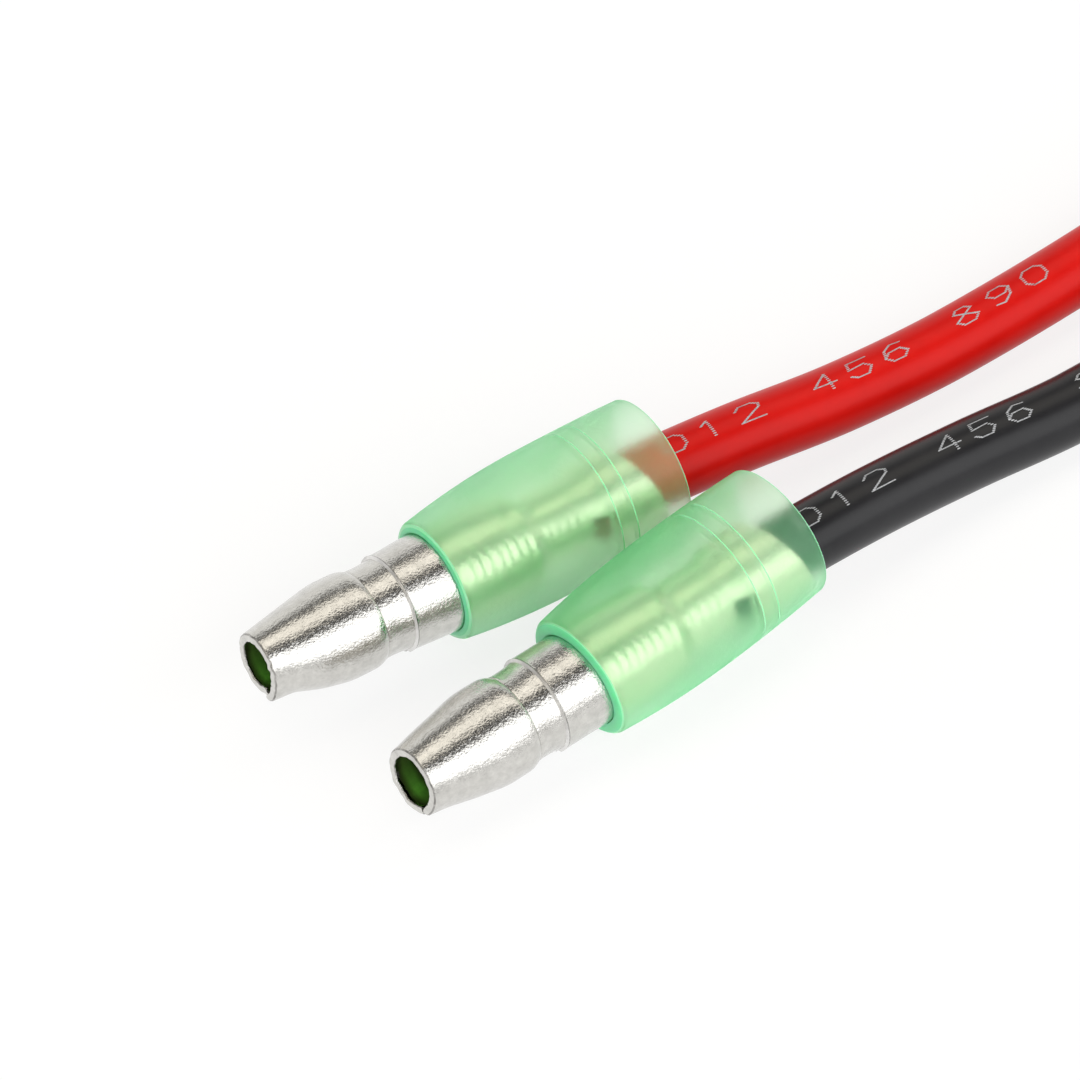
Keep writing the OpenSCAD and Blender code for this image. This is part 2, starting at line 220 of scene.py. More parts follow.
# %% Node helpers
FLOAT, COLOUR = "NodeSocketFloat", "NodeSocketColor"


def wire(tree, source, target):
    """Joins an output socket to an input socket."""
    tree.links.new(source, target)


def set_inputs(node, values):
    """Sets a node's input sockets by their names, with _ for a space."""
    for name, value in values.items():
        node.inputs[name.replace("_", " ")].default_value = value


def add_node(tree, kind, **values):
    """New node with its input sockets set."""
    node = tree.nodes.new(kind)
    set_inputs(node, values)
    return node


def add_group(tree, group, **values):
    """A shared group placed in a material, with its input sockets set."""
    node = tree.nodes.new("ShaderNodeGroup")
    node.node_tree = group
    set_inputs(node, values)
    return node


def math_node(tree, operation, first, second):
    """Output of a math node whose inputs are sockets or plain numbers."""
    node = tree.nodes.new("ShaderNodeMath")
    node.operation = operation
    for slot, value in zip(node.inputs, (first, second)):
        if isinstance(value, (int, float)):
            slot.default_value = value
        else:
            wire(tree, value, slot)
    return node.outputs[0]


def new_group(name, inputs, outputs):
    """Empty shader node group with named sockets."""
    group = bpy.data.node_groups.new(name, "ShaderNodeTree")
    for socket, kind, value in inputs:
        made = group.interface.new_socket(socket, in_out="INPUT", socket_type=kind)
        made.default_value = value
    for socket, kind in outputs:
        group.interface.new_socket(socket, in_out="OUTPUT", socket_type=kind)
    return group, group.nodes.new("NodeGroupInput"), group.nodes.new("NodeGroupOutput")


print("socket kinds", FLOAT, COLOUR)

# %% Group for a fine skin
skin_group, skin_in, skin_out = new_group(
    "fine_skin",
    [("Grain", FLOAT, 4000.0), ("Ripple", FLOAT, 900.0), ("Ripple Share", FLOAT, 0.5)],
    [("Height", FLOAT)],
)
skin_place = skin_group.nodes.new("ShaderNodeTexCoord")
grain_noise = add_node(skin_group, "ShaderNodeTexNoise", Detail=3.0, Roughness=0.6)
ripple_noise = add_node(skin_group, "ShaderNodeTexNoise", Detail=1.5, Roughness=0.5)
for tex, socket in ((grain_noise, "Grain"), (ripple_noise, "Ripple")):
    wire(skin_group, skin_place.outputs["Object"], tex.inputs["Vector"])
    wire(skin_group, skin_in.outputs[socket], tex.inputs["Scale"])
rippled = math_node(skin_group, "MULTIPLY", ripple_noise.outputs["Fac"], skin_in.outputs["Ripple Share"])
height = math_node(skin_group, "ADD", grain_noise.outputs["Fac"], rippled)
wire(skin_group, height, skin_out.inputs["Height"])
print("group", skin_group.name, "with", len(skin_group.nodes), "nodes")

# %% Group for a slow tone
tone_group, tone_in, tone_out = new_group(
    "slow_tone",
    [
        ("Size", FLOAT, 250.0),
        ("Low", FLOAT, 0.0),
        ("High", FLOAT, 1.0),
        ("Light", COLOUR, (1, 1, 1, 1)),
        ("Dark", COLOUR, (0, 0, 0, 1)),
    ],
    [("Color", COLOUR), ("Value", FLOAT)],
)
tone_place = tone_group.nodes.new("ShaderNodeTexCoord")
tone_noise = add_node(tone_group, "ShaderNodeTexNoise", Detail=4.0, Roughness=0.65)
wire(tone_group, tone_place.outputs["Object"], tone_noise.inputs["Vector"])
wire(tone_group, tone_in.outputs["Size"], tone_noise.inputs["Scale"])
noise_low, noise_high = 0.3, 0.7
spread = add_node(tone_group, "ShaderNodeMapRange", From_Min=noise_low, From_Max=noise_high)
shade = add_node(tone_group, "ShaderNodeMapRange", From_Min=noise_low, From_Max=noise_high)
for stretched in (spread, shade):
    wire(tone_group, tone_noise.outputs["Fac"], stretched.inputs["Value"])
wire(tone_group, tone_in.outputs["Low"], spread.inputs["To Min"])
wire(tone_group, tone_in.outputs["High"], spread.inputs["To Max"])
blend_tone = tone_group.nodes.new("ShaderNodeMix")
blend_tone.data_type = "RGBA"
wire(tone_group, shade.outputs["Result"], blend_tone.inputs["Factor"])
wire(tone_group, tone_in.outputs["Dark"], blend_tone.inputs["A"])
wire(tone_group, tone_in.outputs["Light"], blend_tone.inputs["B"])
wire(tone_group, blend_tone.outputs["Result"], tone_out.inputs["Color"])
wire(tone_group, spread.outputs["Result"], tone_out.inputs["Value"])
print("group", tone_group.name, "with", len(tone_group.nodes), "nodes")

# %% [markdown]
# ## Finishes
# Every finish is one Principled shader. The slow tone drives its colour and its roughness, and the
# fine skin drives a bump. A number that is the same all over is set on the shader's own socket. One
# function makes them all, so each finish is only a short list of values beside the piece that needs
# it.

# %% Finish maker


def new_finish(name, light, dark, rough, tone_size, grain, ripple, share, bump, depth, **fixed):
    """Material with a toned colour, a changing roughness and a bumped skin.

    The noise sizes count waves per metre, and the bump's depth is in millimetres. What is fixed goes
    straight to the shader's sockets.
    """
    finish = bpy.data.materials.new(name)
    finish.use_nodes = True
    tree = finish.node_tree
    shader = tree.nodes["Principled BSDF"]
    set_inputs(shader, fixed)
    tone = add_group(tree, tone_group, Size=tone_size, Low=rough[0], High=rough[1],
                     Light=(*light, 1), Dark=(*dark, 1))
    wire(tree, tone.outputs["Color"], shader.inputs["Base Color"])
    wire(tree, tone.outputs["Value"], shader.inputs["Roughness"])
    fine = add_group(tree, skin_group, Grain=grain, Ripple=ripple, Ripple_Share=share)
    bumped = add_node(tree, "ShaderNodeBump", Strength=bump, Distance=depth * MM)
    wire(tree, fine.outputs["Height"], bumped.inputs["Height"])
    wire(tree, bumped.outputs["Normal"], shader.inputs["Normal"])
    return finish


print("groups in a finish", [group.name for group in bpy.data.node_groups])

# %% [markdown]
# ## Leads
# A lead is a bundle of fine copper wires in a round, satin silicone jacket. A bevelled curve could
# show it, but its ends would have no cut edge, so it is a mesh tube along a route. The route's points
# are the ones that the solids use: out of the crimp along the terminal's axis, down to the table,
# over it in loose curves, and up to the socket. A smooth curve goes through them, because straight
# lines would show kinks in a highlight.

# %% Points of the routes
lead_r = 1.4
jacket_x, tail_x = -7.1, -8.4
ways = {
    "red": [
        (-12, -2.7, 0.8), (-17, -2.3, 0.2), (-22, -2, 0), (-28, -2, 0), (-34, -2.3, 0), (-41, -3, 0),
        (-48, -3.7, 0), (-55, -4, 0), (-62, -3.7, 0), (-68, -3.1, 0), (-74, -2.4, 0),
    ],
    "black": [
        (-14, 3.2, 1), (-19, 3.2, 0.4), (-24, 3.5, 0), (-30, 3.6, 0), (-36, 3.3, 0), (-42, 2.6, 0),
        (-49, 1.8, 0), (-56, 1.5, 0), (-62, 1.7, 0), (-68, 2.2, 0), (-74, 2.7, 0),
    ],
}
socket_place = (-122.0, 0.8, 7.0)
joint_y = {"red": -2.35, "black": 2.35}
level_x, lead_end_x = -99.25, -104.59


def route(side):
    """Points of a lead's centre line, in millimetres."""
    points = [on_axis(side, jacket_x), on_axis(side, tail_x - lead_r)]
    points += [Vector((x, y, z + lead_r)) for x, y, z in ways[side]]
    start = points[-1].copy()
    end = Vector((level_x, socket_place[1] + joint_y[side], socket_place[2]))
    for t in (0.25, 0.5, 0.75, 1.0):
        e = (1 - math.cos(math.pi * t)) / 2
        x = start.x + t * (end.x - start.x)
        y = start.y + e * (end.y - start.y)
        z = start.z + e * (end.z - start.z)
        points.append(Vector((x, y, z)))
    points.append(Vector((lead_end_x, end.y, end.z)))
    return points


print("points in the routes", {side: len(route(side)) for side in SIDES})

# %% Smooth lines through the points
line_steps = 12


def smooth_line(points, per_span):
    """Points of a curve that passes through all the given points, with its pace set by their distances."""
    line = []
    for i in range(len(points) - 1):
        a, b = points[i], points[i + 1]
        before = points[i - 1] if i else a - (b - a)
        after = points[i + 2] if i + 2 < len(points) else b + (b - a)
        span = (b - a).length
        go_a = ((b - a) / span + (a - before) / (a - before).length) * 0.5 * span
        go_b = ((b - a) / span + (after - b) / (after - b).length) * 0.5 * span
        for k in range(per_span):
            t = k / per_span
            line.append(
                a * (2 * t**3 - 3 * t**2 + 1) + go_a * (t**3 - 2 * t**2 + t)
                + b * (-2 * t**3 + 3 * t**2) + go_b * (t**3 - t**2)
            )
    line.append(points[-1].copy())
    return line


def lead_line(side):
    """Centre line of a lead, which never dips below where the jacket lies on the table."""
    return [Vector((p.x, p.y, max(p.z, lead_r))) for p in smooth_line(route(side), line_steps)]


lead_lines = {side: lead_line(side) for side in SIDES}

# %% Silicone and ink
silicones = {
    "red": new_finish(
        "red_silicone", light=(0.7, 0.007, 0.004), dark=(0.6, 0.005, 0.003), rough=(0.3, 0.38),
        tone_size=350, grain=9000, ripple=1500, share=0.6, bump=0.12, depth=0.02, Specular_IOR_Level=0.16,
    ),
    "black": new_finish(
        "black_silicone", light=(0.016, 0.016, 0.018), dark=(0.01, 0.01, 0.012), rough=(0.3, 0.38),
        tone_size=350, grain=9000, ripple=1500, share=0.6, bump=0.12, depth=0.02, Specular_IOR_Level=0.32,
    ),
}
white_ink = new_finish(
    "white_ink", light=(0.58, 0.6, 0.63), dark=(0.32, 0.33, 0.35), rough=(0.5, 0.65), tone_size=9000,
    grain=14000, ripple=4000, share=0.5, bump=0.2, depth=0.01,
)
print("finishes", [finish.name for finish in silicones.values()], white_ink.name)

# %% [markdown]
# ## Printed numbers
# A row of small white numbers runs along each jacket, one after the other, as on a tape measure. A
# text object would give solid strokes, but an ink jet prints in drops. So each stroke is a chain of
# tiny flat drops, laid just above the jacket.

# %% Strokes of the numbers
STROKES = {
    0: [(1, 0), (3, 0), (4, 1.5), (4, 4.5), (3, 6), (1, 6), (0, 4.5), (0, 1.5), (1, 0)],
    1: [(0.8, 4.6), (2, 6), (2, 0)],
    2: [(0, 4.6), (1, 6), (3, 6), (4, 4.8), (3.8, 3.6), (0, 0), (4, 0)],
    3: [(0, 5), (1, 6), (3, 6), (4, 4.6), (2.6, 3.1), (4, 1.6), (3, 0), (1, 0), (0, 1)],
    4: [(3, 0), (3, 6), (0, 2), (4, 2)],
    5: [(4, 6), (0.6, 6), (0.2, 3.3), (3, 3.7), (4, 2), (3, 0), (1, 0), (0, 1)],
    6: [(3.6, 5.6), (2, 6), (0.4, 4.2), (0, 1.6), (1, 0), (3, 0), (4, 1.6), (3, 3.4), (1, 3.2), (0, 1.8)],
    7: [(0, 6), (4, 6), (1.4, 0)],
    8: [(2, 3.2), (0.4, 4.6), (1.2, 6), (2.8, 6), (3.6, 4.6), (0, 1.5), (1, 0), (3, 0), (4, 1.5), (2, 3.2)],
    9: [(4, 4.2), (3, 2.8), (1, 2.8), (0, 4.4), (1, 6), (3, 6), (4, 4.4), (3.6, 1.8), (2, 0), (0.6, 0.4)],
}
grid_wide, grid_high = 4, 6
mark_wide, mark_high = 1.05, 0.78
drop_pitch = 0.1


def stroke_drops(number):
    """Places of a number's drops in millimetres, along and across the lead."""
    corners = [Vector((x / grid_wide * mark_wide, y / grid_high * mark_high)) for x, y in STROKES[number]]
    drops = []
    for a, b in zip(corners, corners[1:]):
        count = max(1, round((b - a).length / drop_pitch))
        drops += [a.lerp(b, i / count) for i in range(count)]
    return drops + [corners[-1]]


print("drops in a number", {n: len(stroke_drops(n)) for n in STROKES})

# %% Rows of numbers along a lead
mark_pitch, mark_turn, mark_group = 1.75, 4.0, 4
drop_r, drop_long, drop_sides, ink_up = 0.028, 0.085, 6, 0.012


def frames_along(line):
    """(point, direction, sideways, upwards) at each point of a line."""
    out = []
    for i, p in enumerate(line):
        go = (line[min(i + 1, len(line) - 1)] - line[max(i - 1, 0)]).normalized()
        sideways = go.cross(Vector((0, 0, 1))).normalized()
        out.append((p, go, sideways, sideways.cross(go)))
    return out


def number_marks(frames, start, end):
    """Points and faces of the numbers between two distances along a lead. Each group ends with a gap."""
    reach = [0.0]
    for before, after in zip(frames, frames[1:]):
        reach.append(reach[-1] + (after[0] - before[0]).length)
    points, polygons = [], []
    for n in range(int((end - start) / mark_pitch)):
        if n % mark_group == mark_group - 1:
            continue
        for along, across in stroke_drops(n % len(STROKES)):
            s = start + n * mark_pitch + along
            i = max(k for k, r in enumerate(reach) if r <= s)
            p, go, sideways, up = frames[i]
            turn = math.radians(mark_turn) - (across - mark_high / 2) / lead_r
            out = up * math.cos(turn) + sideways * math.sin(turn)
            round_way = go.cross(out)
            centre = p + go * (s - reach[i]) + out * (lead_r + ink_up)
            polygons.append(tuple(range(len(points), len(points) + drop_sides)))
            for a in angles(drop_sides):
                points.append(centre + drop_long * math.cos(a) * go + drop_r * math.sin(a) * round_way)
    return points, polygons


print("numbers stand", mark_pitch, "mm apart, with a gap after each", mark_group - 1)

# %% Tubes of the leads
lead_sides, cut_edge, cap_r = 56, 0.12, 0.75
marks_from, marks_to = 3.4, 62.0


def finish_place(piece, finish):
    """Number of a finish in a piece's list, which it joins if it isn't there yet."""
    if finish.name not in piece.data.materials:
        piece.data.materials.append(finish)
    return piece.data.materials.find(finish.name)


def lead_ring(at, radius, shift=0.0):
    """Ring round a lead's centre line."""
    p, go, sideways, up = at
    return [
        p + go * shift + radius * (math.cos(a) * sideways + math.sin(a) * up) for a in angles(lead_sides)
    ]


def lead_tube(side):
    """Tube of a lead, with cut ends whose edges are slightly rounded, and its numbers."""
    frames = frames_along(lead_lines[side])
    first, last = frames[0], frames[-1]
    rings = [lead_ring(first, cap_r), lead_ring(first, lead_r - cut_edge)]
    rings += [lead_ring(first, lead_r - cut_edge / 3, cut_edge / 3), lead_ring(first, lead_r, cut_edge)]
    rings += [lead_ring(at, lead_r) for at in frames[1:-1]]
    rings += [lead_ring(last, lead_r, -cut_edge), lead_ring(last, lead_r - cut_edge)]
    rings += [lead_ring(last, cap_r)]
    points, polygons = skin(rings, cap_ends=True)
    plain = len(polygons)
    drops, marks = number_marks(frames, marks_from, marks_to)
    polygons += [tuple(len(points) + k for k in mark) for mark in marks]
    lead = new_piece(side + "_lead_tube", points + drops, polygons, silicones[side],
                     sharp=50, hides=[side + "_lead"])
    ink = finish_place(lead, white_ink)
    for face in lead.data.polygons[plain:]:
        face.material_index = ink
    return lead


leads = {side: lead_tube(side) for side in SIDES}

# %% [markdown]
# ## Sheet metal
# The terminals are stamped from tinned strip. The plate is bright with a fine hammered grain, and
# the cut edge of the rim is duller. The line behind the ridge is darker, which is painted shade, and
# the ridge's shoulder is paler, which is a painted highlight. One finish with a mask could hold all
# that. The places are known exactly, though, so separate finishes on their own faces are simpler.
# The part under the sleeve has a paler one, painted light that keeps it bright behind the green wall.

# %% Finishes of the sheet metal
tin = new_finish(
    "tin_plate", light=(0.7, 0.69, 0.66), dark=(0.55, 0.54, 0.515), rough=(0.06, 0.12), tone_size=2500,
    grain=9500, ripple=4000, share=0.2, bump=1.0, depth=0.02, Metallic=1.0,
)
# Duller tin for the rim's real cut edge, also used as painted shade on the line behind the ridge.
sheared_edge_and_shade = new_finish(
    "sheared_edge_and_shade", light=(0.5, 0.49, 0.47), dark=(0.16, 0.155, 0.145), rough=(0.16, 0.3), tone_size=3500,
    grain=9000, ripple=4000, share=0.5, bump=1.0, depth=0.03, Metallic=1.0,
)
# Paler tin for a painted highlight on the ridge's shoulder.
ridge_painted_highlight = new_finish(
    "ridge_painted_highlight", light=(0.95, 0.94, 0.92), dark=(0.5, 0.49, 0.48), rough=(0.3, 0.45), tone_size=900,
    grain=9000, ripple=4000, share=0.5, bump=0.3, depth=0.02, Metallic=1.0,
)
# Paler, less metallic tin under the sleeve: painted light that keeps it bright behind the green wall.
tin_painted_bright = new_finish(
    "tin_painted_bright", light=(1.0, 0.97, 0.86), dark=(0.92, 0.89, 0.78), rough=(0.08, 0.16), tone_size=1500,
    grain=10500, ripple=4000, share=0.35, bump=0.8, depth=0.02, Metallic=0.65,
)
print("finishes", [finish.name for finish in (tin, sheared_edge_and_shade, ridge_painted_highlight, tin_painted_bright)])

# %% [markdown]
# ## Hollow of the noses
# The light inside a nose has come through the green sleeve behind it, so the bore looks green: dark
# at the rim and deep inside, and darker on one side. Little of that light would find its way there in
# a render. So the bore's green is painted light in a finish of its own, and two colour ramps multiply
# in painted shade, one by depth and one across the bore.

# %% Turning directions into a rolled sheet's frame
seam_turn = 42.0
sheet_roll = math.radians(180 + seam_turn)
# Direction of the bore's side with painted shade; the pinched mouth also shifts that way.
painted_shade_side = Vector((0, -0.825, 0.565))


def roll_back(way):
    """A direction in the row frame as a rolled sheet sees it, which is turned about its axis."""
    return Matrix.Rotation(-sheet_roll, 3, "X") @ way


print("dark side of a bore", [round(v, 3) for v in roll_back(painted_shade_side)])

# %% Painted green light and painted shade in the hollow
# Green painted light for the bore, standing in for light that comes through the sleeve.
bore_painted_green_light = new_finish(
    "bore_painted_green_light", light=(0.2, 0.62, 0.07), dark=(0.13, 0.42, 0.04), rough=(0.5, 0.65), tone_size=900,
    grain=9500, ripple=4000, share=0.5, bump=0.5, depth=0.03, Metallic=0.4,
)
red_fade, blue_fade = 0.7, 0.8
bore_front, bore_deep, bore_half = 7.9, 6.9, 1.1
# Painted shade: how bright the bore is by depth from the mouth, and across it.
depth_levels = [(0, 0.1), (0.16, 0.3), (0.4, 1.0), (0.7, 1.0), (0.95, 0.35)]
side_levels = [(0.05, 0.45), (0.3, 1.25), (0.55, 0.7), (0.85, 0.3)]


def fill_ramp(ramp, stops):
    """Puts colours on a colour ramp, at rising places from 0 to 1."""
    for at, _ in stops[1:-1]:
        ramp.elements.new(at)
    for element, (at, colour) in zip(ramp.elements, stops):
        element.position = at
        element.color = (*colour, 1)


def shade_by(tree, source, low, high, levels):
    """Multiplies a finish's colour by painted shade levels along a value, from low to high in millimetres.
    """
    colour = tree.nodes["Principled BSDF"].inputs["Base Color"]
    place = add_node(tree, "ShaderNodeMapRange", From_Min=low * MM, From_Max=high * MM)
    wire(tree, source, place.inputs["Value"])
    shades = tree.nodes.new("ShaderNodeValToRGB")
    wire(tree, place.outputs["Result"], shades.inputs["Fac"])
    stops = [(at, (level**red_fade, level, level**blue_fade)) for at, level in levels]
    fill_ramp(shades.color_ramp, stops)
    shaded = tree.nodes.new("ShaderNodeMix")
    shaded.data_type = "RGBA"
    shaded.blend_type = "MULTIPLY"
    shaded.inputs["Factor"].default_value = 1.0
    wire(tree, colour.links[0].from_socket, shaded.inputs["A"])
    wire(tree, shades.outputs["Color"], shaded.inputs["B"])
    wire(tree, shaded.outputs["Result"], colour)


tree = bore_painted_green_light.node_tree
bore_place = tree.nodes.new("ShaderNodeTexCoord")
along_bore = tree.nodes.new("ShaderNodeSeparateXYZ")
wire(tree, bore_place.outputs["Object"], along_bore.inputs["Vector"])
across_bore = tree.nodes.new("ShaderNodeVectorMath")
across_bore.operation = "DOT_PRODUCT"
wire(tree, bore_place.outputs["Object"], across_bore.inputs[0])
across_bore.inputs[1].default_value = roll_back(painted_shade_side)
shade_by(tree, along_bore.outputs["X"], bore_front, bore_deep, depth_levels)
shade_by(tree, across_bore.outputs["Value"], -bore_half, bore_half, side_levels)
print("finish", bore_painted_green_light.name, "with", len(tree.nodes), "nodes")

# %% [markdown]
# ## Terminals
# A bullet terminal is one strip of tin-plated sheet, rolled into a hollow nose with an open seam,
# then folded into a crimp for the bare core and wings for the jacket. The mesh is a rolled sheet too:
# at each station along the axis it has a radius and says how far the sheet wraps round. A lathe would
# be quicker, but it would have no seam.

# %% Outline of the rolled sheet
widest_x, land_x, flare_x, throat_x = 4.3, 3.75, 2.0, -3.6
crimp_x, bridge_x, wing_x = -4.5, -6.3, -7.3
nose_r, mouth_r, barrel_r, core_crimp_r, wing_r = 2.0, 1.4, 1.98, 1.5, 1.78
nose_blend, neck_power = 0.8, 2.2
crease_x, crease_r, waist_x, waist_r = 3.2, 1.85, 2.75, 1.82
shoulder_l, ridge_r, ridge_up, ridge_l = 0.055, 1.88, 0.02, 0.1
jacket_gap = 0.06
nose_slope = (nose_r - mouth_r) / (mouth_x - widest_x - nose_blend / 2)


def sheet_radius(x):
    """Outside radius of the rolled sheet at a station."""
    if x > widest_x + nose_blend:
        return mouth_r + nose_slope * (mouth_x - x)
    if x > widest_x:
        return nose_r - nose_slope * (x - widest_x) ** 2 / (2 * nose_blend)
    if x > land_x:
        return nose_r
    if x > crease_x:
        return nose_r - (nose_r - crease_r) * ((land_x - x) / (land_x - crease_x)) ** neck_power
    if x > waist_x:
        return waist_r + (crease_r - waist_r) * ((x - waist_x) / (crease_x - waist_x)) ** 2
    if x > flare_x + shoulder_l:
        return waist_r + (ridge_r - waist_r) * ((waist_x - x) / (waist_x - flare_x - shoulder_l)) ** 2
    if x > flare_x:
        return ridge_r + (barrel_r + ridge_up - ridge_r) * (flare_x + shoulder_l - x) / shoulder_l
    if x > throat_x:
        return barrel_r + ridge_up * max(0.0, 1 - (flare_x - x) / ridge_l)
    if x > crimp_x:
        return barrel_r + (core_crimp_r - barrel_r) * eased((throat_x - x) / (throat_x - crimp_x))
    if x > bridge_x:
        return core_crimp_r
    bridge_l = bridge_x - jacket_x - jacket_gap
    return core_crimp_r + (wing_r - core_crimp_r) * eased((bridge_x - x) / bridge_l)


print("radius at the nose, waist and barrel", [round(sheet_radius(x), 3) for x in (land_x, waist_x, 0)])

# %% How far the sheet wraps round
throat_wrap, bridge_wrap = 2.5, 1.72
throat_ease, bridge_ease = 0.4, 0.2


def half_wrap(x, seam):
    """Half of the angle that the sheet covers at a station. The channels beside the crimp cover less."""
    closed = math.pi - seam / (2 * sheet_radius(x))
    throat = eased((throat_x - x) / throat_ease) * eased((x - crimp_x) / throat_ease)
    bridge = eased((bridge_x - x) / bridge_ease) * eased((x - wing_x) / bridge_ease)
    return closed - (closed - throat_wrap) * throat - (closed - bridge_wrap) * bridge


print("half wrap in the bridge", round(half_wrap((bridge_x + wing_x) / 2, 0), 2), "of", round(math.pi, 2))

# %% Stations along the sheet, close together where its outline bends
rim_r = 0.13
stations = [mouth_x - rim_r * (1 - math.cos(b)) for b in steps(0.1, math.pi / 2, 8)]
stations += steps(mouth_x - 0.2, widest_x, 26)
stations += steps(widest_x - 0.1, land_x, 4)
stations += steps(land_x - 0.05, crease_x + 0.1, 10)
stations += steps(crease_x + 0.06, crease_x - 0.06, 6)
stations += steps(crease_x - 0.1, flare_x + shoulder_l + 0.03, 18)
stations += [flare_x + shoulder_l, flare_x, flare_x - ridge_l / 2, flare_x - ridge_l]
stations += steps(flare_x - 0.2, throat_x + 0.01, 64)
stations += steps(throat_x - 0.02, crimp_x, 20)
stations += steps(crimp_x - 0.02, bridge_x, 36)
stations += steps(bridge_x - 0.02, wing_x, 18)
stations += steps(wing_x - 0.02, tail_x, 8)
print("stations", len(stations), "from", stations[0], "to", stations[-1])

# %% What sets the two terminals apart
terminal_shape = {
    "red": {
        "curl": 0.26, "lap": 0.24, "pinch": 0.12, "slant": 0.0, "swell": 0.08,
        "wing_end": -8.5, "wing_slant": 1.3, "seed": 3.1,
    },
    "black": {
        "curl": 0.05, "lap": 0.0, "pinch": 0.03, "slant": 0.12, "swell": 0.0,
        "wing_end": -8.9, "wing_slant": 1.2, "seed": 11.7,
    },
}


def sheet_turn(way):
    """Angle round a rolled sheet at which it faces a direction in the row frame."""
    rolled = roll_back(way)
    return math.atan2(rolled.y, rolled.z) % (2 * math.pi)


tool_turn = sheet_turn(Vector((0, 0.6, 0.8)))
low_turn = sheet_turn(Vector((0, 0.8, -0.6)))
print("tool marks at", round(math.degrees(tool_turn)), "degrees round the sheet")
print("wings longest at", round(math.degrees(low_turn)), "degrees round the sheet")

# %% One ring of the sheet
sheet_sides, sheet_t = 120, 0.32
seam_w, mouth_seam, wing_gap = 0.12, 0.06, 0.25
mouth_l, pinch_l, rolled_in, rolled_l = 1.1, 2.4, 0.06, 0.4
swell_front, swell_rear = 2.0, 1.0
groove_deep, groove_wide = 0.025, 0.04
fold_deep, fold_wide, fold_ease = 0.3, 0.4, 0.15
tool_front, tool_ease, tool_deep, tool_pitch, tool_wide = -0.5, 0.3, 0.036, 0.42, 0.5
lap_wide, curl_wide = 0.3, 0.42
edge_r, edge_l = 0.06, 0.1
dent_high, dent_size, dent_along = 0.012, 1.4, 0.9
bead_size, bead_along = 2, 1.2
burr_long, burr_size = 0.05, 4


def sheet_ring(x, shape):
    """Ring of the sheet at a station: along its outside from edge to edge, and back along its inside."""
    pinched = shape["pinch"] * eased(1 - (mouth_x - x) / pinch_l)
    raised = pinched * roll_back(painted_shade_side)
    radius = sheet_radius(x) - pinched
    radius += shape["swell"] * eased((flare_x - x) / swell_front) * eased((x - throat_x) / swell_rear)
    near_mouth = eased(1 - (mouth_x - x) / mouth_l)
    seam = seam_w - (seam_w - mouth_seam) * near_mouth if x > throat_x else wing_gap
    wrap = half_wrap(x, seam)
    rim = max(0.0, 1 - (mouth_x - x) / rim_r)
    round_off = rim_r * (1 - math.sqrt(1 - rim * rim))
    groove = groove_deep * bell(x - crease_x, groove_wide)
    folded = eased((crimp_x - x) / fold_ease) * eased((x - bridge_x) / fold_ease)
    tooled = eased((tool_front - x) / tool_ease) * eased((x - bridge_x) / tool_ease)
    rearward = shape["wing_slant"] * eased((wing_x - x) / (wing_x - shape["wing_end"]))
    outer, inner = [], []
    for t in steps(-1, 1, sheet_sides):
        to_lap = (1 - t) * wrap * radius
        to_edge = (1 - abs(t)) * wrap * radius
        a = math.pi + t * wrap + shape["lap"] * near_mouth * bell(to_lap, lap_wide) / radius
        lift = dent_high * noise_round(a, dent_size, x * dent_along, shape["seed"])
        bead = noise_round(a, bead_size, x * bead_along, shape["seed"])
        in_row = bell((a - tool_turn) * radius, tool_wide)
        lift += tool_deep * tooled * in_row * math.sin(2 * math.pi * x / tool_pitch + bead)
        lift += shape["curl"] * near_mouth * bell(to_lap, curl_wide)
        lift -= fold_deep * folded * bell(to_edge, fold_wide)
        burr = burr_long * noise_round(a, burr_size, shape["seed"], shape["seed"]) * near_mouth
        burr -= shape["slant"] * math.cos(a - sheet_roll) * near_mouth
        burr -= rearward * (1 + math.cos(a - low_turn)) / 2
        edge = edge_r * eased(1 - to_edge / edge_l)
        r_out = radius + lift - round_off - edge - groove
        r_in = radius + lift - sheet_t + round_off + edge - rolled_in * eased(1 - (mouth_x - x) / rolled_l)
        outer.append((x + burr, r_out * math.sin(a) + raised.y, r_out * math.cos(a) + raised.z))
        inner.append((x + burr, r_in * math.sin(a) + raised.y, r_in * math.cos(a) + raised.z))
    return outer + inner[::-1]


print("points in a ring", len(sheet_ring(0, terminal_shape["red"])))

# %% Finishes on part of a piece


def refinish(piece, finish, rear, front, way):
    """Another finish between two stations, for faces that look away from the axis (1) or to it (-1)."""
    place = finish_place(piece, finish)
    for face in piece.data.polygons:
        outwards = face.normal.y * face.center.y + face.normal.z * face.center.z
        if outwards * way > 0 and rear * MM < face.center.x < front * MM:
            face.material_index = place


def refinish_rings(piece, finish, gaps, around):
    """Another finish for whole bands of faces, counted in rings from the first one."""
    place = finish_place(piece, finish)
    for gap in gaps:
        for face in piece.data.polygons[gap * around:(gap + 1) * around]:
            face.material_index = place


ridge_ring = stations.index(flare_x)
rim_rings = range(3, 6)
print("the rim is cut at rings", [*rim_rings], "and the ridge is ring", ridge_ring)

# %% Rolled sheets
pressed_x = -0.2


